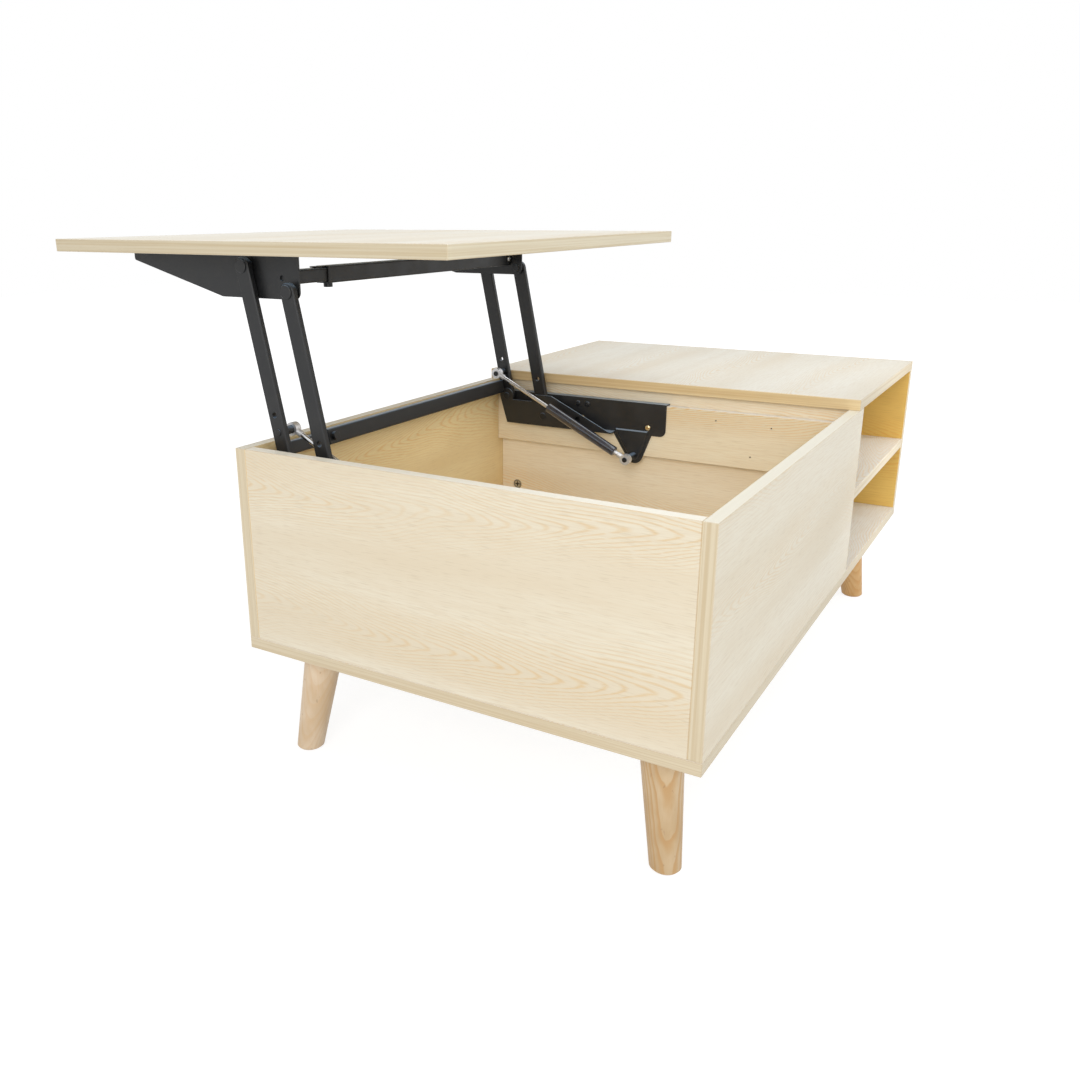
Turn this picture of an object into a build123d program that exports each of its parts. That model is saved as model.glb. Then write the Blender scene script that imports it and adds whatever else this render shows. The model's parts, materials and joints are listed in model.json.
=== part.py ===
from build123d import *
import os
from math import cos, degrees, hypot, radians, sin

# A lift top coffee table with its top raised: a box case on four splayed legs, a storage bay under
# the lifting top and two open bays under the fixed top. Millimetres, Z up, origin on the floor at
# the middle of the raised table's footprint. X runs along the case, towards the lifting end, and
# Y runs across it, from the side where the user sits to the side with the open bays.

# Case sizes
length = 1000.0
width = 580.0
board = 15.0
edge_ease = 0.6
case_height = 254.0
leg_height = 146.0
lift_top_length = 583.0
top_gap = 2.0
rim_gap = 0.5
rail_height = 80.0
rail_drop = 19.0
rail_proud = 3.0
shelf_drop = 116.0

# Leg sizes
leg_top_radius = 24.5
leg_foot_radius = 17.0
leg_foot_inset = 46.0
leg_top_inset = 65.5
leg_foot_bevel = 2.5
leg_bolt_radius = 4.0
leg_bolt_in_leg = 40.0
insert_radius = 5.5
insert_depth = 12.0

# Linkage sizes
link_length = 232.0
link_width = 20.0
link_thick = 8.0
link_edge = 1.2
link_spread = 66.0
link_step = 27.0
open_lean = 12.0
closed_rise = 2.5
sight_hole_along = 59.0
sight_hole_radius = 3.5

# Sheet metal sizes
sheet = 2.0
link_standoff = 8.0
layer_gap = 1.0
bracket_front = 16.0
bracket_rear = 265.0
bracket_depth = 45.0
bracket_corner = 9.0
bracket_rake = 17.0
rail_flange = 13.0
ear_lobe_radius = 12.0
ear_floor_drop = 6.0
ear_rear_top = 80.0
ear_rear_bottom = 184.0
tab_left = 180.0
tab_right = 243.0
tab_radius = 13.0
emboss_height = 3.0
emboss_margin = 5.0
emboss_rise = 6.5
emboss_bevel = 1.6
plate_front = 191.0
plate_tip = 10.4
plate_margin = 9.5
plate_knee = 44.0
plate_round = 9.0
plate_tip_round = 3.0
top_flange = 25.0

# Pivot and stud sizes
pin_radius = 4.0
running_fit = 0.06
seat_fit = 0.05
side_play = 0.2
pin_collar_radius = 7.0
lower_head_radius = 5.5
upper_head_radius = 8.0
head_thick = 1.6
head_bevel = 0.8
stop_radius = 3.0
stop_along = 14.0
stop_play = 0.1

# Cross bar sizes
bar_size = 20.0
bar_wall = 1.5
bar_slack = 0.5
bar_corner = 2.0
bar_end_wall = 3.0
bar_tongue = 16.0
bar_outer_start = 125.0
bar_overlap = 100.0
bar_clearance = 1.1
lower_bar_back = 14.0
lower_bar_up = 14.0
lower_bar_boss_radius = 6.0
upper_bar_back = 46.0
upper_bar_down = 13.0
clamp_radius = 2.5
clamp_head_radius = 5.5
clamp_head_height = 5.0
clamp_inset = 10.0
bar_screw_inset = 5.5
bar_hole_radius = 3.2
bar_hole_across = 4.5

# Gas spring sizes
gas_depth = 35.0
gas_stud_along = 38.5
gas_foot_across = 217.0
gas_foot_down = 75.5
gas_cylinder_radius = 7.5
gas_cylinder_length = 129.5
gas_neck_length = 20.5
gas_neck_radius = 3.5
gas_rod_radius = 3.0
gas_rod_hidden = 62.0
gas_bevel = 1.5
eye_radius = 8.0
eye_thick = 9.0
eye_neck_radius = 4.0
eye_neck_start = 6.0
eye_neck_length = 14.0
stud_pin_radius = 3.0
stud_neck_radius = 5.0
stud_clip_radius = 3.8
stud_clip_thick = 1.0
stud_foot_gap = 0.3

# Fastener sizes
screw_radius = 2.0
screw_length = 12.0
screw_head_radius = 4.2
screw_head_height = 2.2
confirmat_radius = 2.5
confirmat_length = 48.0
confirmat_head_radius = 5.0
confirmat_head_depth = 3.0
confirmat_socket_radius = 2.0
cam_radius = 7.5
cam_depth = 12.0
cam_inset = 29.0
cam_drop = 178.0
cam_slot = 1.4
cam_bolt_radius = 3.0
cam_bolt_in_side = 10.0
dowel_radius = 4.0
dowel_in_top = 10.0
dowel_in_edge = 20.0
socket_side_count = 6

# Fastener places, as insets from edges
bracket_screw_insets = [(28.0, 35.0), (129.5, 8.0), (145.5, 8.0), (138.0, 30.0)]
ear_access_inset = bracket_screw_insets[-1]
ear_access_radius = 4.6
rail_pilot_insets = [(101.0, 17.0), (182.0, 14.0), (128.0, 62.0)]
rail_pilot_radius = 1.2
rail_pilot_depth = 8.0
top_screw_inset = 19.0
top_screw_count = 5
base_screw_inset = 120.0
base_screw_count = 4
shelf_screw_count = 3
end_screw_inset = 140.0
end_dowel_inset = 110.0
side_dowel_inset = 90.0

# Linkage travel, with the links counted from level on the shelf side
open_angle = radians(90.0 + open_lean)
closed_angle = radians(closed_rise)
travel = open_angle - closed_angle
link_way = (cos(open_angle), sin(open_angle))
top_shift = link_length * (cos(closed_angle) - cos(open_angle))
top_lift = link_length * (sin(open_angle) - sin(closed_angle))

# Case planes
case_y = top_shift / 2
user_y = case_y - width / 2
shelf_y = case_y + width / 2
user_inner = user_y + board
shelf_inner = shelf_y - board
near_x = length / 2
far_x = -length / 2
near_inner = near_x - board
far_inner = far_x + board
rim_z = leg_height + case_height
floor_z = leg_height + board
rail_top = rim_z - rail_drop
fixed_front = near_x - lift_top_length - top_gap
rail_far_face = fixed_front + rail_proud
divider_front = rail_far_face - board
divider_back = divider_front - board
rail_near_face = near_inner - board
shelf_top = rim_z - shelf_drop
lift_under = rim_z + rim_gap + top_lift

# Each side's mounting face and the way from it to the middle of the storage bay
sides = {"near": (rail_near_face, -1), "far": (rail_far_face, 1)}

# Layers of the mechanism, counted from the mounting face
link_outer = link_standoff
link_inner = link_outer + link_thick
ear_outer = link_inner + layer_gap
ear_inner = ear_outer + sheet
plate_outer = ear_inner + layer_gap
plate_inner = plate_outer + sheet
lower_bar_start = plate_inner
eye_outer = gas_depth - eye_thick / 2
eye_inner = gas_depth + eye_thick / 2


def turned(y, z, angle):
    """A point of the YZ plane turned about the X axis."""
    return (y * cos(angle) - z * sin(angle), y * sin(angle) + z * cos(angle))


def spaced(first, last, count):
    """Evenly spaced places from the first to the last."""
    return [first + (last - first) * n / (count - 1) for n in range(count)]


def along(point, distance, across=0.0):
    """A point beside a raised link, counted along it and towards the user from a point."""
    return (
        point[0] + distance * link_way[0] - across * link_way[1],
        point[1] + distance * link_way[1] + across * link_way[0],
    )


# The lower bar clears the user's side panel when raised and the top when closed
lean = radians(open_lean)
bar_half_open = bar_size / 2 * (cos(lean) + sin(lean))
bar_half_closed = bar_size / 2 * (cos(closed_angle) + sin(closed_angle))
lower_bar_closed = turned(-lower_bar_back, lower_bar_up, -travel)
pivot_setback = board + bar_clearance + bar_half_open + lower_bar_back
pivot_drop = bar_clearance + bar_half_closed + lower_bar_closed[1]

# Pivots in the YZ plane, with the top raised
front_low = (user_y + pivot_setback, rim_z - pivot_drop)
rear_low = (front_low[0] + link_spread, front_low[1] - link_step)
front_high = along(front_low, link_length)
rear_high = along(rear_low, link_length)
lower_bar = (front_low[0] - lower_bar_back, front_low[1] + lower_bar_up)
upper_bar = (front_high[0] + upper_bar_back, front_high[1] - upper_bar_down)
bar_hole = (upper_bar[0] + bar_hole_across, upper_bar[1])
gas_top = along(front_low, gas_stud_along)
gas_foot = (front_low[0] + gas_foot_across, front_low[1] - gas_foot_down)
gas_stud_closed = (
    front_low[0] + gas_stud_along * cos(closed_angle),
    front_low[1] + gas_stud_along * sin(closed_angle),
)
gas_length = hypot(gas_foot[0] - gas_top[0], gas_foot[1] - gas_top[1])
gas_way = (
    (gas_foot[0] - gas_top[0]) / gas_length,
    (gas_foot[1] - gas_top[1]) / gas_length,
)
open_stop = along(rear_low, stop_along, link_width / 2 + stop_radius + stop_play)
bracket_bottom = front_low[1] - bracket_depth + sheet
bracket_low_y = front_low[0] - bracket_front
bracket_high_y = front_low[0] + bracket_rear
emboss_face = sheet + emboss_height

# Places of the fasteners
leg_signs = [(1, -1), (1, 1), (-1, -1), (-1, 1)]
leg_names = {
    (1, -1): "leg_near_user",
    (1, 1): "leg_near_shelf",
    (-1, -1): "leg_far_user",
    (-1, 1): "leg_far_shelf",
}
bracket_screws_at = [(bracket_high_y - y, rail_top - z) for y, z in bracket_screw_insets]
ear_access = (bracket_high_y - ear_access_inset[0], rail_top - ear_access_inset[1])
rail_pilots_at = [(shelf_inner - y, rail_top - z) for y, z in rail_pilot_insets]
plate_low_y = front_high[0] - plate_front
plate_high_y = rear_high[0] + plate_margin
top_screws_at = spaced(plate_low_y + top_screw_inset, plate_high_y - top_screw_inset, top_screw_count)
top_screw_depth = plate_inner + top_flange / 2
bar_screw_x = rail_far_face + plate_inner + bar_screw_inset
bar_screw_at = (bar_screw_x, upper_bar[0] + bar_size / 2, upper_bar[1])
divider_x = (divider_front + divider_back) / 2
end_screws_y = spaced(user_y + end_screw_inset, shelf_y - end_screw_inset, 2)
end_dowels_y = spaced(user_y + end_dowel_inset, shelf_y - end_dowel_inset, 2)
user_screws_x = spaced(far_x + base_screw_inset, near_x - base_screw_inset, base_screw_count)
shelf_screws_x = spaced(divider_back + base_screw_inset, near_x - base_screw_inset, shelf_screw_count)
user_screws = [(x, user_y + board / 2) for x in user_screws_x]
shelf_screws = [(x, shelf_y - board / 2) for x in shelf_screws_x]
near_screws = [(near_x - board / 2, y) for y in end_screws_y]
far_screws = [(far_x + board / 2, y) for y in end_screws_y]
divider_screws = [(divider_x, y) for y in end_screws_y]
confirmats_at = user_screws + shelf_screws + near_screws + far_screws + divider_screws
divider_dowels = [(divider_x, y) for y in end_dowels_y]
far_dowels = [(far_x + board / 2, y) for y in end_dowels_y]
user_dowels_x = spaced(far_inner + side_dowel_inset, divider_back - side_dowel_inset, 2)
user_dowels = [(x, user_y + board / 2) for x in user_dowels_x]
dowels_at = divider_dowels + far_dowels + user_dowels
cams_at = [
    (near_inner, -1, user_inner, 1),
    (near_inner, -1, shelf_inner, -1),
    (divider_front, 1, user_inner, 1),
    (divider_front, 1, shelf_inner, -1),
    (far_inner, 1, user_inner, 1),
]
cam_z = rim_z - cam_drop


def save(piece, name):
    piece.part.label = name
    export_step(piece.part, f"parts/{name}.step")


def slab(piece, low, high):
    """A square-cut board between two corners, with its edges eased."""
    with Locations(tuple((a + b) / 2 for a, b in zip(low, high))):
        Box(*[b - a for a, b in zip(low, high)])
    chamfer(piece.edges(), edge_ease)


def rod(start, way, radius, height, mode=Mode.ADD):
    """A round bar from a point along a direction."""
    with Locations(Plane(origin=start, z_dir=way)):
        Cylinder(radius, height, align=(Align.CENTER, Align.CENTER, Align.MIN), mode=mode)


def rod_across(side, point, start, end, radius, mode=Mode.ADD):
    """A round bar across the mechanism between two depths from the mounting face."""
    face, way = sides[side]
    low = min(start, end)
    origin = (face + way * low, point[0], point[1])
    rod(origin, (way, 0, 0), radius, abs(end - start), mode)


def head_across(side, point, start, end, radius):
    """A round head across the mechanism that narrows to its outer face."""
    face, way = sides[side]
    turn = 1 if end > start else -1
    rod_across(side, point, start, end - turn * head_bevel, radius)
    origin = (face + way * (end - turn * head_bevel), point[0], point[1])
    with Locations(Plane(origin=origin, z_dir=(way * turn, 0, 0))):
        Cone(radius, radius - head_bevel, head_bevel, align=(Align.CENTER, Align.CENTER, Align.MIN))


def layer(side, depth):
    """The upright plane at a depth from the mounting face."""
    face, way = sides[side]
    return Plane.YZ.offset(face + way * depth)


def block_across(side, depths, ys, zs):
    """A square-cut block of the mechanism between two depths."""
    face, way = sides[side]
    xs = [face + way * depth for depth in depths]
    with Locations((sum(xs) / 2, sum(ys) / 2, sum(zs) / 2)):
        Box(abs(xs[1] - xs[0]), ys[1] - ys[0], zs[1] - zs[0])


def cam_bores(panel_face):
    """Pockets for the cams of one upright panel and bores for their bolts."""
    for face, way, side_inner, inward in cams_at:
        if face != panel_face:
            continue
        cam_y = side_inner + inward * cam_inset
        rod((face, cam_y, cam_z), (-way, 0, 0), cam_radius + seat_fit, cam_depth, Mode.SUBTRACT)
        bolt_x = face - way * board / 2
        start = (bolt_x, side_inner, cam_z)
        rod(start, (0, inward, 0), cam_bolt_radius + seat_fit, cam_inset, Mode.SUBTRACT)


def side_cam_bores(side_inner):
    """Blind bores in a side panel for the cam bolts."""
    for face, way, at_side, inward in cams_at:
        if at_side == side_inner:
            start = (face - way * board / 2, side_inner, cam_z)
            radius = cam_bolt_radius + seat_fit
            rod(start, (0, -inward, 0), radius, cam_bolt_in_side, Mode.SUBTRACT)


def edge_bores(points, top_dowels):
    """Bores up into a panel's lower edge for its screws and down into its top edge for dowels."""
    for x, y in points:
        start = (x, y, leg_height)
        rod(start, (0, 0, 1), confirmat_radius + seat_fit, confirmat_length, Mode.SUBTRACT)
    for x, y in top_dowels:
        radius = dowel_radius + seat_fit
        rod((x, y, rim_z), (0, 0, -1), radius, dowel_in_edge, Mode.SUBTRACT)


def leg_point(sx, sy, inset, z):
    """The middle of a leg at a height, set in from both faces of its corner."""
    x = sx * (length / 2 - inset)
    y = case_y + sy * (width / 2 - inset)
    return (x, y, z)


def bottom_panel():
    with BuildPart() as panel:
        slab(panel, (far_x, user_y, leg_height), (near_x, shelf_y, floor_z))
        for x, y in confirmats_at:
            start = (x, y, leg_height)
            rod(start, (0, 0, 1), confirmat_radius + seat_fit, board, Mode.SUBTRACT)
            head = confirmat_head_radius + seat_fit
            rod(start, (0, 0, 1), head, confirmat_head_depth + seat_fit, Mode.SUBTRACT)
        for sx, sy in leg_signs:
            start = leg_point(sx, sy, leg_top_inset, leg_height)
            rod(start, (0, 0, 1), insert_radius + seat_fit, insert_depth, Mode.SUBTRACT)
    save(panel, "bottom_panel")


def side_panels():
    xs = (far_x, near_x)
    ys = (user_y, user_inner)
    with BuildPart() as user_side:
        slab(user_side, (xs[0], ys[0], floor_z), (xs[1], ys[1], rim_z))
        edge_bores(user_screws, user_dowels)
        side_cam_bores(user_inner)
    save(user_side, "side_panel_user")

    xs = (divider_back, near_x)
    ys = (shelf_inner, shelf_y)
    with BuildPart() as shelf_side:
        slab(shelf_side, (xs[0], ys[0], floor_z), (xs[1], ys[1], rim_z))
        edge_bores(shelf_screws, [])
        side_cam_bores(shelf_inner)
    save(shelf_side, "side_panel_shelf")


def end_panels():
    ys = (user_inner, shelf_inner)
    with BuildPart() as near_end:
        slab(near_end, (near_inner, ys[0], floor_z), (near_x, ys[1], rim_z))
        edge_bores(near_screws, [])
        cam_bores(near_inner)
    save(near_end, "end_panel_near")

    ys = (user_inner, shelf_y)
    with BuildPart() as far_end:
        slab(far_end, (far_x, ys[0], floor_z), (far_inner, ys[1], rim_z))
        edge_bores(far_screws, far_dowels)
        cam_bores(far_inner)
    save(far_end, "end_panel_far")


def divider_panel():
    ys = (user_inner, shelf_inner)
    with BuildPart() as divider:
        slab(divider, (divider_back, ys[0], floor_z), (divider_front, ys[1], rim_z))
        edge_bores(divider_screws, divider_dowels)
        cam_bores(divider_front)
    save(divider, "divider_panel")


def shelf_board():
    with BuildPart() as shelf:
        slab(shelf, (far_inner, user_inner, shelf_top - board), (divider_back, shelf_y, shelf_top))
    save(shelf, "shelf")


def mounting_rails():
    for side, (face, way) in sides.items():
        back = face - way * board
        with BuildPart() as rail:
            low = (min(face, back), user_inner, rail_top - rail_height)
            slab(rail, low, (max(face, back), shelf_inner, rail_top))
            for point in bracket_screws_at:
                radius = screw_radius + seat_fit
                rod_across(side, point, -screw_length, 0, radius, Mode.SUBTRACT)
            for point in rail_pilots_at:
                rod_across(side, point, -rail_pilot_depth, 0, rail_pilot_radius, Mode.SUBTRACT)
        save(rail, f"mounting_rail_{side}")


def table_tops():
    with BuildPart() as fixed:
        slab(fixed, (far_x, user_y, rim_z), (fixed_front, shelf_y, rim_z + board))
        for x, y in dowels_at:
            rod((x, y, rim_z), (0, 0, 1), dowel_radius + seat_fit, dowel_in_top, Mode.SUBTRACT)
    save(fixed, "fixed_top")

    with BuildPart() as lifting:
        low = (near_x - lift_top_length, user_y - top_shift, lift_under)
        slab(lifting, low, (near_x, shelf_y - top_shift, lift_under + board))
        for face, way in sides.values():
            for y in top_screws_at:
                start = (face + way * top_screw_depth, y, lift_under)
                radius = screw_radius + seat_fit
                rod(start, (0, 0, 1), radius, screw_length, Mode.SUBTRACT)
    save(lifting, "lift_top")


def legs():
    """Turned legs that taper to the foot and splay towards their corners."""
    for signs in leg_signs:
        foot = Vector(*leg_point(*signs, leg_foot_inset, 0))
        head = Vector(*leg_point(*signs, leg_top_inset, leg_height))
        way = (head - foot).normalized()
        tall = (head - foot).length
        taper = (leg_top_radius - leg_foot_radius) / tall
        spare = leg_top_radius
        with BuildPart() as leg:
            with Locations(Plane(origin=foot - way * spare, z_dir=way)):
                Cone(
                    leg_foot_radius - taper * spare,
                    leg_top_radius + taper * spare,
                    tall + 2 * spare,
                    align=(Align.CENTER, Align.CENTER, Align.MIN),
                )
            split(bisect_by=Plane.XY, keep=Keep.TOP)
            split(bisect_by=Plane.XY.offset(leg_height), keep=Keep.BOTTOM)
            chamfer(leg.faces().sort_by(Axis.Z)[0].edges(), leg_foot_bevel)
            radius = leg_bolt_radius + seat_fit
            rod(tuple(head), (0, 0, -1), radius, leg_bolt_in_leg, Mode.SUBTRACT)
        save(leg, leg_names[signs])


def leg_fixings():
    with BuildPart() as bolts:
        for signs in leg_signs:
            start = leg_point(*signs, leg_top_inset, leg_height - leg_bolt_in_leg)
            rod(start, (0, 0, 1), leg_bolt_radius, leg_bolt_in_leg + insert_depth)
    save(bolts, "leg_bolts")

    with BuildPart() as inserts:
        for signs in leg_signs:
            start = leg_point(*signs, leg_top_inset, leg_height)
            rod(start, (0, 0, 1), insert_radius, insert_depth)
        for signs in leg_signs:
            start = leg_point(*signs, leg_top_inset, leg_height)
            radius = leg_bolt_radius + seat_fit
            rod(start, (0, 0, 1), radius, insert_depth, Mode.SUBTRACT)
    save(inserts, "leg_inserts")


def case_fixings():
    with BuildPart() as confirmats:
        for x, y in confirmats_at:
            start = (x, y, leg_height)
            rod(start, (0, 0, 1), confirmat_radius, confirmat_length)
            rod(start, (0, 0, 1), confirmat_head_radius, confirmat_head_depth)
        with BuildSketch(Plane.XY.offset(leg_height)):
            with Locations(confirmats_at):
                RegularPolygon(confirmat_socket_radius, socket_side_count)
        extrude(amount=confirmat_head_depth, mode=Mode.SUBTRACT)
    save(confirmats, "base_screws")

    with BuildPart() as dowels:
        for x, y in dowels_at:
            start = (x, y, rim_z - dowel_in_edge)
            rod(start, (0, 0, 1), dowel_radius, dowel_in_edge + dowel_in_top)
    save(dowels, "top_dowels")

    with BuildPart() as cams:
        for face, way, side_inner, inward in cams_at:
            cam_y = side_inner + inward * cam_inset
            rod((face, cam_y, cam_z), (-way, 0, 0), cam_radius, cam_depth)
        for face, way, side_inner, inward in cams_at:
            with Locations((face, side_inner + inward * cam_inset, cam_z)):
                Box(2 * cam_slot, cam_radius, cam_slot, mode=Mode.SUBTRACT)
                Box(2 * cam_slot, cam_slot, cam_radius, mode=Mode.SUBTRACT)
    save(cams, "cam_locks")

    with BuildPart() as cam_bolts:
        for face, way, side_inner, inward in cams_at:
            start = (face - way * board / 2, side_inner - inward * cam_bolt_in_side, cam_z)
            reach = cam_bolt_in_side + cam_inset - cam_radius - seat_fit
            rod(start, (0, inward, 0), cam_bolt_radius, reach)
    save(cam_bolts, "cam_bolts")


def bracket_outline():
    """The base bracket's back plate, raked at the user's end and rounded at the other."""
    top = rail_top + sheet
    Polygon(
        (bracket_low_y, top),
        (bracket_high_y, top),
        (bracket_high_y, bracket_bottom),
        (bracket_low_y + bracket_rake, bracket_bottom),
        (bracket_low_y, top - bracket_rake),
        align=None,
    )


def tab_outline(margin, top):
    """The tapered tab that carries the gas spring's foot, set in by a margin below its top."""
    with Locations(gas_foot):
        Circle(tab_radius - margin)
    left = front_low[0] + tab_left + margin
    right = front_low[0] + tab_right - margin
    with Locations(((left + right) / 2, top - sheet)):
        Rectangle(right - left, 2 * sheet)
    make_hull()


def ear_outline():
    """The bracket's inner ear, cut down where the lower bar and the spring's stud come to rest."""
    top = rail_top + sheet
    stud_room = stud_neck_radius + 2 * layer_gap
    floor = gas_stud_closed[1] - stud_room
    notch_end = gas_stud_closed[0] + stud_room
    Polygon(
        (bracket_low_y + bracket_rake, bracket_bottom),
        (front_low[0] + ear_rear_bottom, bracket_bottom),
        (front_low[0] + ear_rear_top, top),
        (notch_end + ear_floor_drop, top),
        (notch_end, floor),
        (front_low[0], floor),
        (front_low[0] - ear_lobe_radius * cos(lean), front_low[1] - ear_lobe_radius * sin(lean)),
        align=None,
    )
    with Locations(front_low):
        Circle(ear_lobe_radius)


def base_brackets():
    """Pressed brackets on the rails: a back plate, a lip over the rail, a floor and an inner ear."""
    top = rail_top + sheet
    floor_ys = (bracket_low_y + bracket_rake, front_low[0] + ear_rear_bottom)
    for side, (face, way) in sides.items():
        with BuildPart() as bracket:
            with BuildSketch(layer(side, 0)) as back_plate:
                bracket_outline()
                lower_corner = back_plate.vertices().sort_by(Axis.X)[-2:].sort_by(Axis.Y)[0]
                fillet(lower_corner, bracket_corner)
            extrude(amount=way * sheet)
            with BuildSketch(layer(side, 0)):
                tab_outline(0, bracket_bottom + 2 * sheet)
            extrude(amount=way * sheet)
            with BuildSketch(layer(side, 0)):
                tab_outline(emboss_margin, bracket_bottom + emboss_rise)
            extrude(amount=way * emboss_face)
            proud = bracket.faces().filter_by(Axis.X).sort_by(Axis.X)[-1 if way > 0 else 0]
            chamfer(proud.edges(), emboss_bevel)
            with BuildSketch(layer(side, 0)):
                tab_outline(emboss_margin + sheet, bracket_bottom + emboss_rise - sheet)
            extrude(amount=way * emboss_height, mode=Mode.SUBTRACT)
            with BuildSketch(layer(side, ear_outer)):
                ear_outline()
            extrude(amount=way * sheet)
            lip_ys = (bracket_low_y, bracket_high_y)
            block_across(side, (-rail_flange, sheet), lip_ys, (rail_top, top))
            floor_zs = (bracket_bottom, bracket_bottom + sheet)
            block_across(side, (0, ear_inner), floor_ys, floor_zs)
            for point in (front_low, rear_low):
                radius = pin_radius + seat_fit
                rod_across(side, point, ear_outer, ear_inner, radius, Mode.SUBTRACT)
            rod_across(side, ear_access, ear_outer, ear_inner, ear_access_radius, Mode.SUBTRACT)
            for point in bracket_screws_at:
                radius = screw_radius + seat_fit
                rod_across(side, point, 0, sheet, radius, Mode.SUBTRACT)
        save(bracket, f"base_bracket_{side}")


def bracket_screws():
    with BuildPart() as screws:
        for side in sides:
            for point in bracket_screws_at:
                rod_across(side, point, -screw_length, sheet, screw_radius)
                head_across(side, point, sheet, sheet + screw_head_height, screw_head_radius)
    save(screws, "bracket_screws")


def lower_pivots():
    """Shoulder pins between the back plate and the ear, and the stops that hold the links open."""
    with BuildPart() as pins:
        for side in sides:
            for point in (front_low, rear_low):
                rod_across(side, point, sheet, link_outer - side_play, pin_collar_radius)
                rod_across(side, point, sheet, ear_inner, pin_radius)
                head_across(side, point, ear_inner, ear_inner + head_thick, lower_head_radius)
    save(pins, "lower_pivot_pins")

    with BuildPart() as stops:
        for side in sides:
            rod_across(side, open_stop, sheet, ear_outer, stop_radius)
    save(stops, "open_stops")


def link_bar(piece, side, low):
    """A flat link with round ends, bored for its pivots and drilled once on its way up."""
    way = sides[side][1]
    with BuildSketch(layer(side, link_outer)) as outline:
        with Locations(along(low, link_length / 2)):
            SlotCenterToCenter(link_length, link_width, rotation=degrees(open_angle))
    extrude(outline.sketch, amount=way * link_thick)
    faces = piece.faces().filter_by(Axis.X)
    chamfer(faces.sort_by(Axis.X)[0].edges() + faces.sort_by(Axis.X)[-1].edges(), link_edge)
    bores = [
        (low, pin_radius + running_fit),
        (along(low, link_length), pin_radius + running_fit),
        (along(low, sight_hole_along), sight_hole_radius),
    ]
    for point, radius in bores:
        rod_across(side, point, link_outer, link_inner, radius, Mode.SUBTRACT)


def links():
    """The front links carry the lower bar's bosses and the gas springs' riveted studs."""
    for side in sides:
        with BuildPart() as front:
            link_bar(front, side, front_low)
            rod_across(side, lower_bar, link_inner, lower_bar_start, lower_bar_boss_radius)
            rod_across(side, gas_top, link_outer - layer_gap, link_outer, pin_radius)
        save(front, f"front_link_{side}")

        with BuildPart() as rear:
            link_bar(rear, side, rear_low)
        save(rear, f"rear_link_{side}")


def bar_section(x, centre, tilt):
    """The plane across a cross bar, turned with it."""
    across = turned(1, 0, tilt)
    return Plane(origin=(x, *centre), x_dir=(0, *across), z_dir=(1, 0, 0))


def square_tube(x_low, x_high, centre, tilt, size, closed_x):
    """A square tube along the table, with a wall at one of its ends."""
    with BuildSketch(bar_section(x_low, centre, tilt)) as wall:
        RectangleRounded(size, size, bar_corner)
        Rectangle(size - 2 * bar_wall, size - 2 * bar_wall, mode=Mode.SUBTRACT)
    extrude(wall.sketch, amount=x_high - x_low)
    with BuildSketch(bar_section(closed_x, centre, tilt)) as end:
        RectangleRounded(size, size, bar_corner)
    inward = 1 if closed_x == x_low else -1
    extrude(end.sketch, amount=inward * bar_end_wall)


def cross_bar(name, centre, tilt, start, clamp_turn, screws_at):
    """A telescopic bar between the two sides, with a screw that clamps its inner tube."""
    far_end = rail_far_face + start
    near_end = rail_near_face - start
    outer_end = near_x - bar_outer_start
    inner_size = bar_size - 2 * bar_wall - 2 * bar_slack
    clamp_way = turned(0, 1, tilt + clamp_turn)
    screw_x = outer_end - clamp_inset
    on_inner = (screw_x, *[c + w * inner_size / 2 for c, w in zip(centre, clamp_way)])
    on_outer = (screw_x, *[c + w * bar_size / 2 for c, w in zip(centre, clamp_way)])
    clamp_axis = (0, *clamp_way)
    grip = (bar_size - inner_size) / 2

    with BuildPart() as outer:
        square_tube(far_end, outer_end, centre, tilt, bar_size, far_end)
        with BuildSketch(bar_section(outer_end, centre, tilt)):
            with Locations((0, (bar_size - bar_wall) / 2)):
                Rectangle(bar_size / 2, bar_wall)
        extrude(amount=bar_tongue)
        rod(on_inner, clamp_axis, clamp_radius + seat_fit, grip, Mode.SUBTRACT)
        for point in screws_at:
            rod(point, (0, -1, 0), screw_radius + seat_fit, bar_wall, Mode.SUBTRACT)
    save(outer, f"{name}_outer_tube")

    with BuildPart() as inner:
        square_tube(outer_end - bar_overlap, near_end, centre, tilt, inner_size, near_end)
    save(inner, f"{name}_inner_tube")

    with BuildPart() as clamp:
        rod(on_inner, clamp_axis, clamp_radius, grip)
        rod(on_outer, clamp_axis, clamp_head_radius, clamp_head_height)
    save(clamp, f"{name}_clamp_screw")


def plate_outline():
    """The top bracket's upright plate, deep over the links and tapering towards the user."""
    bottom = rear_high[1] - plate_margin
    Polygon(
        (plate_low_y, lift_under),
        (plate_low_y, lift_under - plate_tip),
        (front_high[0] - plate_knee, bottom),
        (plate_high_y, bottom),
        (plate_high_y, lift_under),
        align=None,
    )


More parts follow.
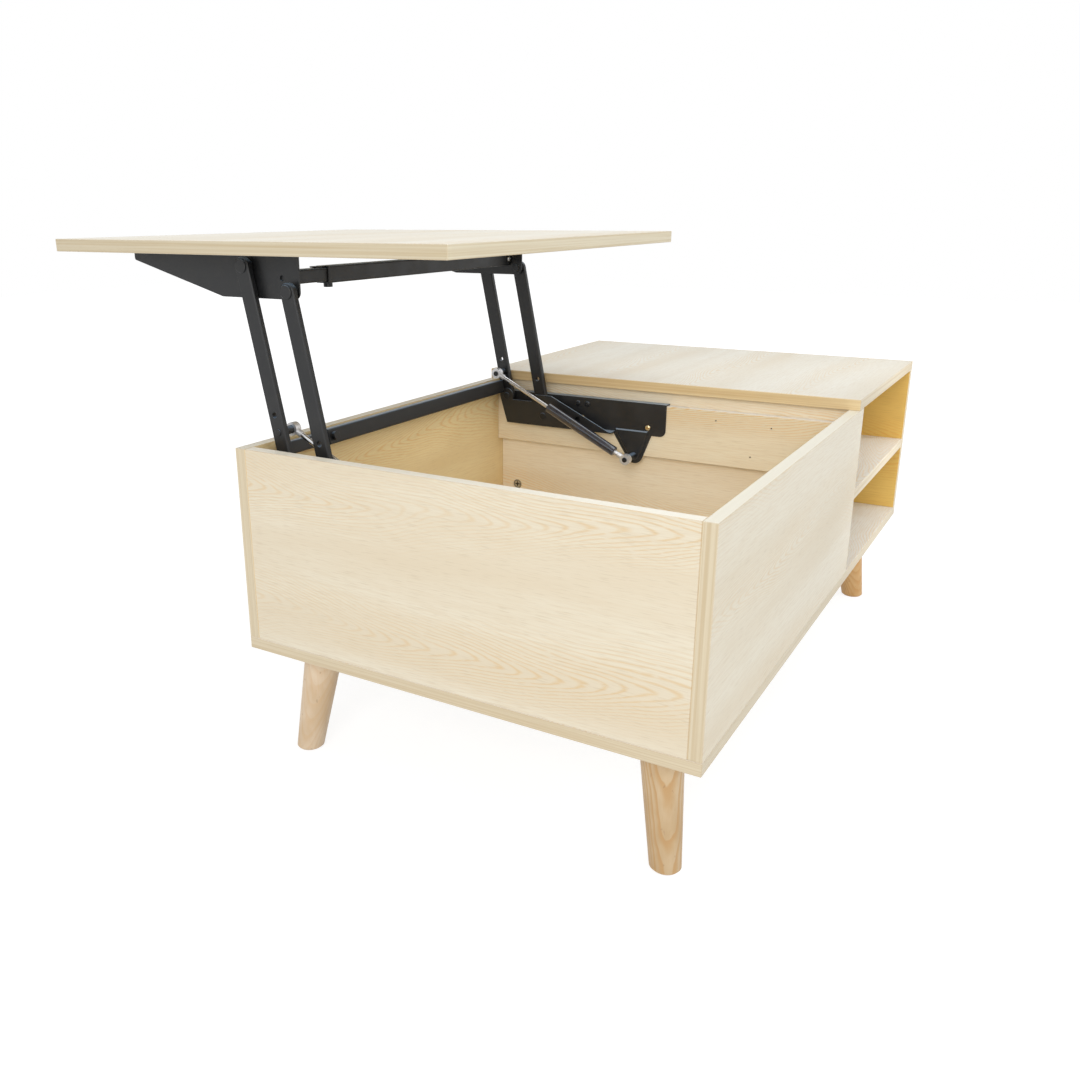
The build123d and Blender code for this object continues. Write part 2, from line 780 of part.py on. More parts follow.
def top_brackets():
    """Angle brackets under the lifting top, each with an upright plate and a screwed flange."""
    for side, (face, way) in sides.items():
        with BuildPart() as bracket:
            with BuildSketch(layer(side, plate_outer)) as plate:
                plate_outline()
                fillet(plate.vertices().sort_by(Axis.Y)[2], plate_tip_round)
                fillet(plate.vertices().sort_by(Axis.Y)[:2], plate_round)
            extrude(amount=way * sheet)
            depths = (plate_outer, plate_inner + top_flange)
            ys = (plate_low_y, plate_high_y)
            block_across(side, depths, ys, (lift_under - sheet, lift_under))
            for point in (front_high, rear_high):
                radius = pin_radius + seat_fit
                rod_across(side, point, plate_outer, plate_inner, radius, Mode.SUBTRACT)
            rod_across(side, bar_hole, plate_outer, plate_inner, bar_hole_radius, Mode.SUBTRACT)
            for y in top_screws_at:
                start = (face + way * top_screw_depth, y, lift_under)
                rod(start, (0, 0, -1), screw_radius + seat_fit, sheet, Mode.SUBTRACT)
        save(bracket, f"top_bracket_{side}")


def top_fixings():
    with BuildPart() as screws:
        for face, way in sides.values():
            for y in top_screws_at:
                start = (face + way * top_screw_depth, y, lift_under - sheet)
                rod(start, (0, 0, 1), screw_radius, sheet + screw_length)
                rod(start, (0, 0, -1), screw_head_radius, screw_head_height)
    save(screws, "top_screws")

    with BuildPart() as bar_screw:
        rod(bar_screw_at, (0, -1, 0), screw_radius, bar_wall)
        rod(bar_screw_at, (0, 1, 0), screw_head_radius, screw_head_height)
    save(bar_screw, "upper_bar_end_screw")

    with BuildPart() as pins:
        for side in sides:
            for point in (front_high, rear_high):
                head = link_outer - side_play
                head_across(side, point, head, head - head_thick, upper_head_radius)
                rod_across(side, point, head, plate_inner, pin_radius)
                rod_across(side, point, link_inner + side_play, plate_outer, pin_collar_radius)
                head_across(side, point, plate_inner, plate_inner + head_thick, lower_head_radius)
    save(pins, "upper_pivot_pins")


def spring_point(side, distance):
    """A point on a gas spring's axis, counted down it from the stud on the link."""
    face, way = sides[side]
    y = gas_top[0] + gas_way[0] * distance
    z = gas_top[1] + gas_way[1] * distance
    return (face + way * gas_depth, y, z)


def eye_end(side, point, neck_start, neck_way):
    """A ring end on a short neck that starts inside the ring's wall."""
    rod_across(side, point, eye_outer, eye_inner, eye_radius)
    rod_across(side, point, eye_outer, eye_inner, stud_pin_radius + running_fit, Mode.SUBTRACT)
    rod(neck_start, neck_way, eye_neck_radius, eye_neck_length - eye_neck_start)


def gas_springs():
    down = (0, *gas_way)
    up = (0, -gas_way[0], -gas_way[1])
    cylinder_top = gas_length - gas_neck_length - gas_cylinder_length
    for side in sides:
        with BuildPart() as cylinder:
            rod(spring_point(side, cylinder_top), down, gas_cylinder_radius, gas_cylinder_length)
            chamfer(cylinder.edges().filter_by(GeomType.CIRCLE), gas_bevel)
            bore = gas_rod_radius + running_fit
            depth = gas_cylinder_length - bar_end_wall
            rod(spring_point(side, cylinder_top), down, bore, depth, Mode.SUBTRACT)
        save(cylinder, f"gas_cylinder_{side}")

        with BuildPart() as lower_eye:
            eye_end(side, gas_foot, spring_point(side, gas_length - eye_neck_start), up)
            neck = gas_neck_length
            rod(spring_point(side, gas_length - neck), down, gas_neck_radius, neck - eye_radius)
        save(lower_eye, f"gas_lower_eye_{side}")

        with BuildPart() as piston_rod:
            start = spring_point(side, eye_neck_length)
            rod(start, down, gas_rod_radius, cylinder_top + gas_rod_hidden - eye_neck_length)
        save(piston_rod, f"gas_rod_{side}")

        with BuildPart() as upper_eye:
            eye_end(side, gas_top, spring_point(side, eye_neck_start), down)
        save(upper_eye, f"gas_upper_eye_{side}")

        with BuildPart() as upper_stud:
            stud(side, gas_top, link_inner)
        save(upper_stud, f"gas_upper_stud_{side}")

        with BuildPart() as lower_stud:
            stud(side, gas_foot, emboss_face + stud_foot_gap)
        save(lower_stud, f"gas_lower_stud_{side}")


def stud(side, point, start):
    """A shouldered stud for a ring end, with a clip on its tip."""
    rod_across(side, point, start, eye_outer - side_play, stud_neck_radius)
    rod_across(side, point, eye_outer - side_play, eye_inner + side_play, stud_pin_radius)
    clip = eye_inner + side_play
    rod_across(side, point, clip, clip + stud_clip_thick, stud_clip_radius)


os.makedirs("parts", exist_ok=True)
bottom_panel()
side_panels()
end_panels()
divider_panel()
shelf_board()
mounting_rails()
table_tops()
legs()
leg_fixings()
case_fixings()
base_brackets()
bracket_screws()
lower_pivots()
links()
cross_bar("lower_bar", lower_bar, lean, lower_bar_start, radians(-90), [])
cross_bar("upper_bar", upper_bar, 0.0, plate_inner, radians(180), [bar_screw_at])
top_brackets()
top_fixings()
gas_springs()
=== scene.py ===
import json
from math import cos, pi, radians, sin

import bmesh
import bpy
from mathutils import Matrix, Vector


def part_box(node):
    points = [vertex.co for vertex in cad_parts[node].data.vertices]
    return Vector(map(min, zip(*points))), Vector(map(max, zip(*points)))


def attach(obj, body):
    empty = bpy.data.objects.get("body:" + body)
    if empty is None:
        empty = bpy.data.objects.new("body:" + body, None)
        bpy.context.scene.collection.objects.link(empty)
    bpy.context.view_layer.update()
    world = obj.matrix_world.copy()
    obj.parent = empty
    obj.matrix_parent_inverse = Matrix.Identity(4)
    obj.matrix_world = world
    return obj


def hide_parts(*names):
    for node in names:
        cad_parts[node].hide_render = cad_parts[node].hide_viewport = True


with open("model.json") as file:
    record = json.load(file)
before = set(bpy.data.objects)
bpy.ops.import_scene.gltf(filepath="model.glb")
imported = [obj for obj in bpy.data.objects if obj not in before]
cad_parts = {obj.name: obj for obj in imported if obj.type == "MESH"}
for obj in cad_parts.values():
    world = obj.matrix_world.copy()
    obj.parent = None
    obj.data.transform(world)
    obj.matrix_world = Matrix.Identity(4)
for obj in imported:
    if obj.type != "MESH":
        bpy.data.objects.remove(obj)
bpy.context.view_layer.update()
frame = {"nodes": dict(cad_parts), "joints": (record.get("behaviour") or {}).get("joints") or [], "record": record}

# A lift top coffee table with its top raised, on a white floor in soft studio light

# The CAD nodes
nodes = frame["nodes"]

# Camera, from the photograph's panel corners
CAMERA_PLACE = (1.3147, 0.6837, 0.6631)
CAMERA_HEADING = -148.17
CAMERA_PITCH = -17.67
CAMERA_ROLL = -0.42
CAMERA_LENS = 33.06
CAMERA_SENSOR = 36.0
CAMERA_SHIFT = (0.0609, -0.0133)

# Light and floor
WHITE = (1.0, 1.0, 1.0, 1.0)
COOL = (0.87, 0.945, 1.0)
NEUTRAL = (1.0, 1.0, 1.0)
AMBIENT = 0.52
FLOOR_SIDE = 14.0
FLOOR_DROP = 0.0004
FLOOR_GLOW = 0.84
FLOOR_ALBEDO = 0.28
FLOOR_FADE = (1.0, 2.6)
FLOOR_BOUNCE = 0.85
FLOOR_ROUGHNESS = 0.9

# Softboxes: place, aim and side in metres, power in watts, colour
SOFTBOXES = {
    "overhead": ((0.1, 0.3, 3.2), (0.0, 0.1, 0.3), 3.0, 42.0, COOL),
    "front": ((3.1, 1.0, 1.6), (0.1, 0.0, 0.3), 1.5, 46.0, NEUTRAL),
    "side": ((0.2, 2.6, 1.5), (0.0, 0.2, 0.3), 1.4, 12.5, COOL),
}

# Spotlight into the open bays, with its cone in degrees
SPOT_PLACE = (-0.9, 1.5, 0.75)
SPOT_AIM = (-0.32, 0.33, 0.25)
SPOT_CONE = 20.0
SPOT_BLEND = 0.9
SPOT_RADIUS = 0.15
SPOT_POWER = 48.0

# Colours of the boards
BOARD_PALE = (0.745, 0.672, 0.530, 1.0)
BOARD_TAN = (0.690, 0.590, 0.435, 1.0)
BOARD_LINE = (0.660, 0.450, 0.205, 1.0)
BOARD_PORE = (0.470, 0.360, 0.230, 1.0)
EDGE_PALE = (0.655, 0.560, 0.400, 1.0)
EDGE_TAN = (0.565, 0.450, 0.285, 1.0)
# Painted highlight on the board edges that face up
EDGE_PAINTED_HIGHLIGHT = (0.800, 0.750, 0.630, 1.0)
SEAM = (0.420, 0.300, 0.165, 1.0)

# Painted light and shade on single board faces, which multiply the board's colour
# Painted light on the divider, rails and shelves, painted highlight on the rail's top, painted warm bounce light
# on the inner faces, painted amber shade on the bays' back
DIVIDER_PAINTED_LIGHT = (1.28, 1.27, 1.26, 1.0)
RAIL_PAINTED_LIGHT = (1.21, 1.19, 1.13, 1.0)
RAIL_TOP_PAINTED_HIGHLIGHT = (1.18, 1.22, 1.38, 1.0)
INNER_EDGE_PAINTED_LIGHT = (1.24, 1.14, 0.93, 1.0)
INNER_PAINTED_BOUNCE = (1.26, 1.13, 0.81, 1.0)
BAY_BACK_PAINTED_SHADE = (1.16, 0.84, 0.27, 1.0)
SHELF_PAINTED_LIGHT = (1.22, 1.32, 1.58, 1.0)
# Painted skylight on the tops, painted highlight on the near rim, painted light and painted shade on the lifting
# top's edges
TOP_PAINTED_SKYLIGHT = (1.02, 1.06, 1.15, 1.0)
RIM_PAINTED_HIGHLIGHT = (1.10, 1.11, 1.15, 1.0)
LIFT_EDGE_PAINTED_LIGHT = (1.17, 1.22, 1.28, 1.0)
LIFT_EDGE_PAINTED_SHADE = (0.92, 0.93, 0.93, 1.0)

# Colours of the legs
LEG_PALE = (0.640, 0.478, 0.298, 1.0)
LEG_TAN = (0.550, 0.378, 0.205, 1.0)
LEG_LINE = (0.545, 0.315, 0.125, 1.0)
LEG_FLECK = (0.360, 0.210, 0.110, 1.0)

# Colours of the coated and plated metal
BLACK_COAT = (0.0100, 0.0105, 0.0115, 1.0)
BLACK_WORN = (0.0190, 0.0190, 0.0190, 1.0)
# Paler edges of the coat, partly wear and partly a painted highlight
BLACK_EDGE_WEAR_AND_HIGHLIGHT = (0.0500, 0.0520, 0.0550, 1.0)
BLACK_GLOSS = (0.0090, 0.0160, 0.0400, 1.0)
# Painted sky reflection on coated faces that look up
BLACK_PAINTED_SKY = (0.130, 0.180, 0.250, 1.0)
BRACKET_COAT = (0.0150, 0.0155, 0.0165, 1.0)
# Brighter painted sky reflection on the base brackets' faces that look up
BRACKET_PAINTED_SKY = (0.300, 0.380, 0.480, 1.0)
CHROME = (0.720, 0.720, 0.735, 1.0)
CHROME_DULL = (0.560, 0.560, 0.570, 1.0)
BRASS = (0.700, 0.560, 0.330, 1.0)
BRASS_DULL = (0.500, 0.390, 0.210, 1.0)
ZINC = (0.640, 0.650, 0.660, 1.0)
ZINC_DULL = (0.460, 0.465, 0.470, 1.0)

# Rings of the laminate's grain, with strips, steps and distances in metres, and the rings' strength
STRIP_WIDTH = 0.15
RING_STEP_ALONG = 0.025
RING_STEP_ACROSS = 0.0037
RING_ROUND = 0.007
RING_NEAR = 0.012
RING_FAR = 0.055
RING_FAR_LEVEL = 0.10
RING_STARTS = 9.0
RING_WOBBLE = 2.6
RING_LEVELS = (0.22, 0.50)
FIGURE = 0.60
STRONG_FIGURE = 0.95

# Noise in the laminate, in waves per metre along and across the grain
WANDER = (1.9, 3.0)
RIPPLE = (9.0, 34.0)
BREAKS = (70.0, 380.0)
FADES = (3.0, 8.0)
PORES = (45.0, 900.0)
FIBRES = (20.0, 420.0)
BANDS = (1.3, 14.0)
STREAKS = (2.6, 420.0)

# Noise levels between which a mark of the laminate comes in, and the strength of its faded places
BREAK_LEVELS = (0.24, 0.50)
FADE_LEVELS = (0.30, 0.54)
FADE_STRENGTH = 0.20
PORE_LEVELS = (0.55, 0.72)
FIBRE_LEVELS = (0.40, 0.66)
BAND_LEVELS = (0.38, 0.72)
STREAK_LEVELS = (0.36, 0.66)

# Shares of a mark's colour in the laminate
FIBRE_SHARE = 0.65
PORE_SHARE = 0.24
# Share of the painted highlight on edges that face up
EDGE_HIGHLIGHT_SHARE = 0.85
ARRIS_SHARE = 0.30

# Limits of the surface direction for a face, a board edge and a broken corner
FACE_LIMITS = (0.60, 0.80)
EDGE_LIMITS = (0.30, 0.20)
ARRIS_LIMITS = (0.95, 0.80)

# Shift of the grain from board to board, along and across, and the seed of its faded places
BOARD_SHIFT = (1.37, 0.83)
FADE_SEED = 5.0

# Surface of the laminate: grooves in metres, and two noise levels with the roughness at each
BOARD_GROOVE = 0.00008
BOARD_GROOVE_STRENGTH = 0.15
BOARD_ROUGHNESS = (0.2, 0.8, 0.36, 0.46)
BOARD_SPECULAR = 0.5

# Leg wood: noise in waves per metre across and along the leg
LEG_DRIFT = (9.0, 5.0)
LEG_FIBRES = (520.0, 16.0)
LEG_PATCHES = (30.0, 16.0)
LEG_FLECKS = (190.0, 110.0)

# Leg wood: rings per metre round a leaning pith, and how far noise shifts them
PITH_PLACE = (0.034, 0.022)
PITH_LEAN = (0.16, 0.10)
LEG_RINGS = 290.0
LEG_DRIFT_SHIFT = 4.0
LEG_PATCH_SHIFT = 1.6
LATE_RISE = (0.25, 0.90)
LATE_FALL = (1.0, 0.92)

# Leg wood: levels and shares of its marks, and its surface as for the laminate
LEG_PATCH_LEVELS = (0.35, 0.70)
LEG_FIBRE_LEVELS = (0.48, 0.80)
LEG_FIBRE_SHARE = 0.22
LEG_FLECK_LEVELS = (0.70, 0.78)
LEG_FLECK_SHARE = 0.55
LEG_GROOVE = 0.00010
LEG_GROOVE_STRENGTH = 0.35
LEG_ROUGHNESS = (0.2, 0.8, 0.38, 0.52)
LEG_SPECULAR = 0.45

# Wood of the dowels
DOWEL_SEED = 7.0
DOWEL_FIGURE = 0.45

# Black coating, with its edges' radius and peel's depth in metres, and roughness as for the laminate
EDGE_ROUND = 0.0008
BEVEL_SAMPLES = 4
# Limits and share of the paler edges, partly wear and partly a painted highlight
EDGE_WEAR_AND_HIGHLIGHT_LIMITS = (0.995, 0.90)
EDGE_WEAR_AND_HIGHLIGHT_SHARE = 0.45
PEEL_SCALE = 1500.0
PEEL_DEPTH = 0.00006
PEEL_STRENGTH = 0.5
WEAR_SCALE = 38.0
WEAR_ROUGHNESS = 0.65
WEAR_LEVELS = (0.45, 0.75)
# Limits of the painted sky reflection on faces that look up
PAINTED_SKY_LIMITS = (0.35, 0.90)
COAT_ROUGHNESS = (0.3, 0.75, 0.34, 0.50)
COAT_SPECULAR = 0.42
BRACKET_SPECULAR = 0.55

# Gloss paint of the gas springs, with roughness as for the laminate
SMEAR_SCALE = 70.0
SMEAR_LEVELS = (0.4, 0.8)
SMEAR_DEPTH = 0.00004
SMEAR_STRENGTH = 0.3
GLOSS_ROUGHNESS = (0.3, 0.8, 0.16, 0.24)
GLOSS_SPECULAR = 0.9
GLOSS_COAT_ROUGHNESS = 0.05

# Plated metal, with streaks in waves per metre
PLATE_PATCHES = 120.0
PLATE_LEVELS = (0.42, 0.72)
PLATE_RANGE = (0.3, 0.8)
PLATE_SPREAD = 0.12
STREAK_DEPTH = 0.00003
STREAK_STRENGTH = 0.25
STREAKS_FINE = 300.0
STREAKS_LONG = 40.0
CHROME_ROUGHNESS = 0.19
SATIN_ROUGHNESS = 0.50
BRASS_ROUGHNESS = 0.26
ZINC_ROUGHNESS = 0.30


class Graph:
    """A material's node tree, with short calls for the nodes that it needs."""

    def __init__(self, name):
        self.material = bpy.data.materials.new(name)
        self.material.use_nodes = True
        self.tree = self.material.node_tree
        self.shader = self.tree.nodes["Principled BSDF"]

    def join(self, value, socket):
        """Links a node's output to a socket, or sets the socket to a plain value."""
        if isinstance(value, bpy.types.NodeSocket):
            self.tree.links.new(value, socket)
        else:
            socket.default_value = value

    def node(self, kind, **settings):
        made = self.tree.nodes.new(kind)
        for key, value in settings.items():
            setattr(made, key, value)
        return made

    def point(self):
        """The piece's own coordinates in metres, as one socket."""
        return self.node("ShaderNodeTexCoord").outputs["Object"]

    def place(self):
        """The piece's own coordinates in metres, one socket for each axis."""
        return self.split(self.point())

    def facing(self):
        """The surface's direction in the piece's own axes, one socket for each axis."""
        return self.split(self.node("ShaderNodeTexCoord").outputs["Normal"])

    def split(self, source):
        parts = self.node("ShaderNodeSeparateXYZ")
        self.join(source, parts.inputs[0])
        return dict(zip("XYZ", parts.outputs))

    def math(self, operation, *values):
        made = self.node("ShaderNodeMath", operation=operation)
        for value, socket in zip(values, made.inputs):
            self.join(value, socket)
        return made.outputs[0]

    def scaled(self, value, factor, shift=0.0):
        return self.math("MULTIPLY_ADD", value, factor, shift)

    def vector(self, *values):
        made = self.node("ShaderNodeCombineXYZ")
        for value, socket in zip(values, made.inputs):
            self.join(value, socket)
        return made.outputs[0]

    def noise(self, vector, detail=2.0, roughness=0.5, scale=1.0):
        made = self.node("ShaderNodeTexNoise")
        self.join(vector, made.inputs["Vector"])
        self.join(scale, made.inputs["Scale"])
        self.join(detail, made.inputs["Detail"])
        self.join(roughness, made.inputs["Roughness"])
        return made.outputs[0]

    def grain(self, along, across, seed, waves, detail=2.0):
        """Noise stretched along the grain, with waves per metre along and across it."""
        vector = self.vector(self.scaled(along, waves[0]), self.scaled(across, waves[1]), seed)
        return self.noise(vector, detail)

    def upright(self, place, waves, shift=0.0, detail=2.0):
        """Noise stretched along Z, with waves per metre across and along it."""
        across, along = waves
        vector = self.vector(
            self.scaled(place["X"], across),
            self.scaled(place["Y"], across),
            self.scaled(place["Z"], along, shift),
        )
        return self.noise(vector, detail)

    def random(self, value):
        """A level between zero and one that belongs to the value."""
        made = self.node("ShaderNodeTexWhiteNoise", noise_dimensions="1D")
        self.join(value, made.inputs["W"])
        return made.outputs[0]

    def step(self, value, low, high, start=0.0, end=1.0):
        """A smooth step of a value from one level to another."""
        made = self.node("ShaderNodeMapRange", interpolation_type="SMOOTHSTEP")
        for given, socket in zip((value, low, high, start, end), made.inputs):
            self.join(given, socket)
        return made.outputs[0]

    def mix(self, factor, first, second, blend="MIX"):
        made = self.node("ShaderNodeMix", data_type="RGBA", blend_type=blend)
        self.join(factor, made.inputs[0])
        self.join(first, made.inputs[6])
        self.join(second, made.inputs[7])
        return made.outputs[2]

    def bump(self, height, distance, strength=1.0, under=None):
        """A bumpy surface, over the surface direction under when that is given."""
        made = self.node("ShaderNodeBump")
        if under is not None:
            self.join(under, made.inputs["Normal"])
        self.join(strength, made.inputs["Strength"])
        self.join(distance, made.inputs["Distance"])
        self.join(height, made.inputs["Height"])
        self.join(made.outputs[0], self.shader.inputs["Normal"])

    def rounded(self, radius):
        """The surface direction with its sharp edges rounded off."""
        made = self.node("ShaderNodeBevel", samples=BEVEL_SAMPLES)
        self.join(radius, made.inputs["Radius"])
        return made.outputs[0]

    def edges(self, rounded):
        """One close to a sharp edge and zero on the flat, from the rounded surface direction."""
        level = self.node("ShaderNodeVectorMath", operation="DOT_PRODUCT")
        self.join(rounded, level.inputs[0])
        self.join(self.node("ShaderNodeNewGeometry").outputs["Normal"], level.inputs[1])
        return self.step(level.outputs["Value"], *EDGE_WEAR_AND_HIGHLIGHT_LIMITS)

    def set(self, **values):
        """Sets the shader's sockets, with an underscore for each space in their names."""
        for name, value in values.items():
            self.join(value, self.shader.inputs[name.replace("_", " ")])


def ring_lines(graph, along, across, seed):
    """Rings of a flat sawn face, as nested arches down the middle of wandering strips."""
    wander = graph.grain(along, across, seed, WANDER)
    ripple = graph.grain(along, across, seed, RIPPLE, detail=3.0)
    strips = graph.math("ADD", graph.scaled(across, 1 / STRIP_WIDTH), wander)
    strip = graph.math("FLOOR", strips)
    aside = graph.scaled(graph.math("SUBTRACT", strips, strip), STRIP_WIDTH, -STRIP_WIDTH / 2)
    arch = graph.math("SQRT", graph.math("MULTIPLY_ADD", aside, aside, RING_ROUND**2))
    start = graph.scaled(graph.random(graph.math("ADD", strip, seed)), RING_STARTS)
    rings = graph.math("MULTIPLY_ADD", arch, 1 / RING_STEP_ACROSS, start)
    rings = graph.math("ADD", rings, graph.scaled(along, 1 / RING_STEP_ALONG))
    rings = graph.math("ADD", rings, graph.scaled(ripple, RING_WOBBLE))
    line = graph.step(graph.math("PINGPONG", rings, 0.5), *RING_LEVELS)
    broken = graph.step(graph.grain(along, across, seed, BREAKS), *BREAK_LEVELS)
    near = graph.step(graph.math("ABSOLUTE", aside), RING_NEAR, RING_FAR, 1.0, RING_FAR_LEVEL)
    fade = graph.step(graph.grain(along, across, seed + FADE_SEED, FADES), *FADE_LEVELS, FADE_STRENGTH)
    marks = graph.math("MULTIPLY", line, broken)
    return graph.math("MULTIPLY", marks, graph.math("MULTIPLY", near, fade))


def board_edge(graph, place, facing, axes, seed):
    """The edge bands' colour, with grain that runs along each edge, and a painted highlight where an edge faces
    up.
    """
    grain, across, thickness = axes
    drift = graph.vector(
        graph.scaled(place[grain], STREAKS[0], seed),
        graph.scaled(place[across], STREAKS[0], seed),
        graph.scaled(place[thickness], STREAKS[1]),
    )
    streaks = graph.noise(drift, detail=4.0, roughness=0.6)
    edge = graph.mix(graph.step(streaks, *STREAK_LEVELS), EDGE_PALE, EDGE_TAN)
    # Painted highlight where an edge faces up
    painted_highlight = graph.step(facing["Z"], *FACE_LIMITS, 0.0, EDGE_HIGHLIGHT_SHARE)
    return graph.mix(painted_highlight, edge, EDGE_PAINTED_HIGHLIGHT)


def board_face(graph, along, across, seed, bands, pores, figure):
    """The colour of a board's faces, with bands, fibres, pores and rings of the strength figure."""
    fibres = graph.grain(along, across, seed, FIBRES, detail=4.0)
    rings = ring_lines(graph, along, across, seed)
    face = graph.mix(graph.step(bands, *BAND_LEVELS), BOARD_PALE, BOARD_TAN)
    face = graph.mix(graph.scaled(graph.step(fibres, *FIBRE_LEVELS), FIBRE_SHARE), face, BOARD_TAN)
    face = graph.mix(graph.scaled(rings, figure), face, BOARD_LINE)
    return graph.mix(graph.scaled(pores, PORE_SHARE), face, BOARD_PORE)


def broken_corner(graph, facing):
    """One on the slanting corner between a board's face and its edge, and zero on the flat."""
    flatness = graph.math("ABSOLUTE", facing["X"])
    for way in "YZ":
        flatness = graph.math("MAXIMUM", flatness, graph.math("ABSOLUTE", facing[way]))
    return graph.step(flatness, *ARRIS_LIMITS)


def laminate(name, axes, painted_light_tones, figure, seed):
    """Pale oak laminate with edge bands, and with painted light and shade on single faces."""
    graph = Graph(name)
    place = graph.place()
    facing = graph.facing()
    grain, across, thickness = axes
    along_m = graph.math("ADD", place[grain], seed * BOARD_SHIFT[0])
    across_m = graph.math("ADD", place[across], seed * BOARD_SHIFT[1])
    bands = graph.grain(along_m, across_m, seed, BANDS, detail=3.0)
    pores = graph.step(graph.grain(along_m, across_m, seed, PORES, detail=1.0), *PORE_LEVELS)
    face = board_face(graph, along_m, across_m, seed, bands, pores, figure)
    on_edge = graph.step(graph.math("ABSOLUTE", facing[thickness]), *EDGE_LIMITS)
    colour = graph.mix(on_edge, face, board_edge(graph, place, facing, axes, seed))
    colour = graph.mix(graph.scaled(broken_corner(graph, facing), ARRIS_SHARE), colour, SEAM)
    # Painted light and shade, multiplied into each face that looks the given way
    for way, sign, tone in painted_light_tones:
        on_face = graph.step(graph.scaled(facing[way], sign), *FACE_LIMITS)
        colour = graph.mix(on_face, colour, tone, "MULTIPLY")
    grooves = graph.math("MULTIPLY", pores, graph.math("SUBTRACT", on_edge, 1.0))
    graph.bump(grooves, BOARD_GROOVE, BOARD_GROOVE_STRENGTH)
    roughness = graph.step(bands, *BOARD_ROUGHNESS)
    graph.set(Base_Color=colour, Roughness=roughness, Specular_IOR_Level=BOARD_SPECULAR)
    return graph.material


def pith_distance(graph, place, centre):
    """How far a point of the leg is from a pith that leans across the leg."""
    squares = []
    for way, lean, pith, middle in zip("XY", PITH_LEAN, PITH_PLACE, centre):
        beside = graph.scaled(place[way], 1.0, pith - middle)
        away = graph.math("ADD", graph.scaled(place["Z"], lean), beside)
        squares.append(graph.math("MULTIPLY", away, away))
    return graph.math("SQRT", graph.math("ADD", *squares))


def late_wood(graph, place, centre, seed, patches):
    """The dark side of each ring, which rises slowly and ends sharply."""
    drift = graph.upright(place, LEG_DRIFT, seed)
    radius = pith_distance(graph, place, centre)
    rings = graph.math("ADD", graph.scaled(radius, LEG_RINGS), graph.scaled(drift, LEG_DRIFT_SHIFT))
    rings = graph.math("ADD", rings, graph.scaled(patches, LEG_PATCH_SHIFT))
    ridge = graph.math("FRACT", rings)
    return graph.math("MULTIPLY", graph.step(ridge, *LATE_RISE), graph.step(ridge, *LATE_FALL))


def leg_wood(name, centre, seed, tone, figure):
    """Solid lacquered wood in the given tone, which on the legs is partly painted light and shade, with fibres,
    flecks and rings of the strength figure.
    """
    graph = Graph(name)
    place = graph.place()
    patches = graph.upright(place, LEG_PATCHES, seed, detail=3.0)
    fibres = graph.upright(place, LEG_FIBRES, detail=3.0)
    flecks = graph.upright(place, LEG_FLECKS, seed, detail=1.0)
    late = late_wood(graph, place, centre, seed, patches)
    fibre_marks = graph.scaled(graph.step(fibres, *LEG_FIBRE_LEVELS), LEG_FIBRE_SHARE)
    fleck_marks = graph.scaled(graph.step(flecks, *LEG_FLECK_LEVELS), LEG_FLECK_SHARE)
    colour = graph.mix(graph.step(patches, *LEG_PATCH_LEVELS), LEG_PALE, LEG_TAN)
    colour = graph.mix(graph.scaled(late, figure), colour, LEG_LINE)
    colour = graph.mix(fibre_marks, colour, LEG_LINE)
    colour = graph.mix(fleck_marks, colour, LEG_FLECK)
    # The tone multiplies in; on the legs it is partly painted light and shade
    colour = graph.mix(1.0, colour, tone, "MULTIPLY")
    graph.bump(fibres, LEG_GROOVE, LEG_GROOVE_STRENGTH)
    roughness = graph.step(fibres, *LEG_ROUGHNESS)
    graph.set(Base_Color=colour, Roughness=roughness, Specular_IOR_Level=LEG_SPECULAR)
    return graph.material


def powder_coat(name, coat, painted_sky, specular):
    """Satin black coating with a fine orange peel, rubbed places, paler edges that are partly wear and partly a
    painted highlight, and a painted sky reflection on faces that look up.
    """
    graph = Graph(name)
    point = graph.point()
    peel = graph.noise(point, scale=PEEL_SCALE)
    wear = graph.noise(point, detail=5.0, roughness=WEAR_ROUGHNESS, scale=WEAR_SCALE)
    rounded = graph.rounded(EDGE_ROUND)
    colour = graph.mix(graph.step(wear, *WEAR_LEVELS), coat, BLACK_WORN)
    # Painted sky reflection on faces that look up
    colour = graph.mix(graph.step(graph.facing()["Z"], *PAINTED_SKY_LIMITS), colour, painted_sky)
    # Paler edges, partly wear and partly a painted highlight
    colour = graph.mix(graph.scaled(graph.edges(rounded), EDGE_WEAR_AND_HIGHLIGHT_SHARE), colour, BLACK_EDGE_WEAR_AND_HIGHLIGHT)
    graph.bump(peel, PEEL_DEPTH, PEEL_STRENGTH, under=rounded)
    graph.set(Base_Color=colour, Roughness=graph.step(wear, *COAT_ROUGHNESS), Specular_IOR_Level=specular)
    return graph.material


def gloss_coat():
    """Gloss black paint on the gas springs' cylinders."""
    graph = Graph("spring_black")
    smear = graph.noise(graph.point(), detail=4.0, scale=SMEAR_SCALE)
    colour = graph.mix(graph.step(smear, *SMEAR_LEVELS), BLACK_GLOSS, BLACK_WORN)
    graph.bump(smear, SMEAR_DEPTH, SMEAR_STRENGTH)
    roughness = graph.step(smear, *GLOSS_ROUGHNESS)
    graph.set(Base_Color=colour, Roughness=roughness, Specular_IOR_Level=GLOSS_SPECULAR)
    graph.set(Coat_Weight=1.0, Coat_Roughness=GLOSS_COAT_ROUGHNESS)
    return graph.material


